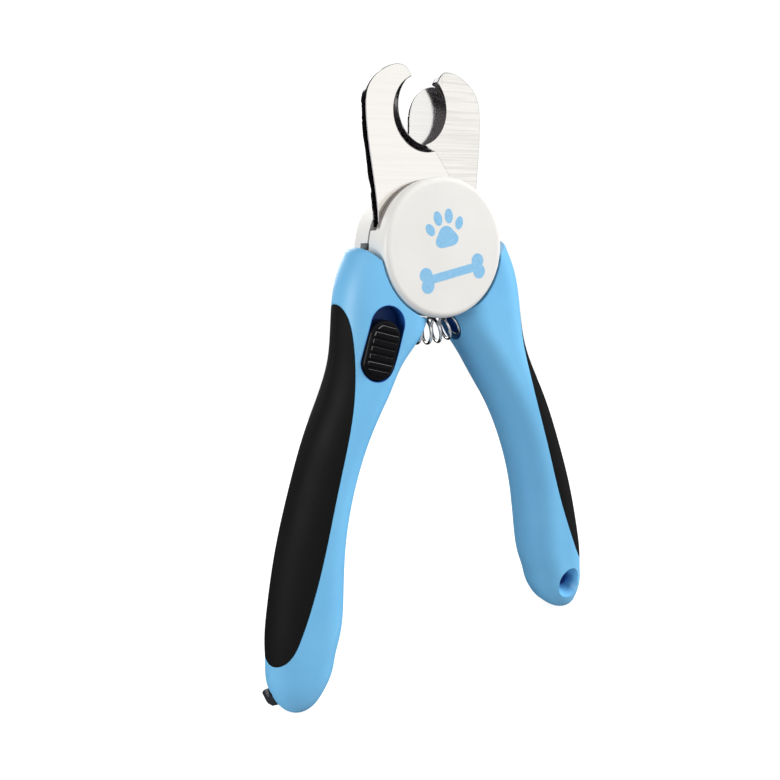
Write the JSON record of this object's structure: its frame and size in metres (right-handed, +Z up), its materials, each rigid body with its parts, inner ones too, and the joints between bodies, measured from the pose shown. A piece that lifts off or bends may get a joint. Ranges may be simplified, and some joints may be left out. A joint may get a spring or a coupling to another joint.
{
  "type": "pet nail clipper",
  "caption": "Plier-type pet nail clipper: notched steel jaws, round white pivot covers, sprung blue handles with soft grips, thumb lock, swinging nail guard and stowed file.",
  "frame": {"origin": "centre of the rear cover's outer flat face, on the pivot axis", "axes": "+Z up along the jaws, +X to the handle of the right lever, +Y out of the rear cover"},
  "size_m": [0.1094, 0.0193, 0.1626],
  "materials": {
    "blade_steel": "fine cross-brushed stainless steel with ground edges",
    "guard_steel": "polished stainless sheet",
    "handle_plastic": "satin moulded plastic, sky blue",
    "grip_rubber": "matte soft-touch rubber, black",
    "cover_plastic": "satin moulded plastic, white",
    "lock_plastic": "satin moulded plastic, black",
    "file_steel": "cross-cut steel",
    "file_cap_plastic": "satin moulded plastic, blue-black",
    "spring_steel": "bright drawn spring wire",
    "fastener_steel": "zinc-plated steel",
    "washer_plastic": "natural nylon"
  },
  "bodies": {
    "left_lever": {"rear_blade": "blade_steel", "left_handle": "handle_plastic", "left_grip": "grip_rubber", "pivot_bushing": "fastener_steel", "pivot_bolt": "fastener_steel", "pivot_nut": "fastener_steel", "front_washer": "washer_plastic", "guard_spring_washer": "spring_steel", "rear_washer": "fastener_steel", "front_cover": "cover_plastic", "rear_cover": "cover_plastic", "lock_detent_spring": "spring_steel", "handle_spring": "spring_steel"},
    "right_lever": {"front_blade": "blade_steel", "right_handle": "handle_plastic", "right_grip": "grip_rubber"},
    "guard": {"guard_plate": "guard_steel"},
    "lock": {"lock_slider": "lock_plastic", "lock_bolt": "fastener_steel"},
    "file": {"file_blade": "file_steel", "file_cap": "file_cap_plastic"}
  },
  "joints": [
    {"name": "lever_pivot", "type": "hinge", "parent": "left_lever", "child": "right_lever", "pos_m": [0, -0.0094, 0], "axis": [0, 1, 0], "range_deg": [0, 24], "stiffness_Nm_per_rad": 0.4, "springref_deg": -21.49, "deforming": ["handle_spring"]},
    {"name": "guard_swing", "type": "hinge", "parent": "left_lever", "child": "guard", "pos_m": [0, -0.0094, 0], "axis": [0, 1, 0], "range_deg": [0, 30]},
    {"name": "lock_slide", "type": "slide", "parent": "left_lever", "child": "lock", "axis": [0.319, 0, 0.9478], "range_m": [0, 0.0034]},
    {"name": "file_slide", "type": "slide", "parent": "left_lever", "child": "file", "axis": [-0.1805, 0, -0.9836], "range_m": [0, 0.062]}
  ]
}
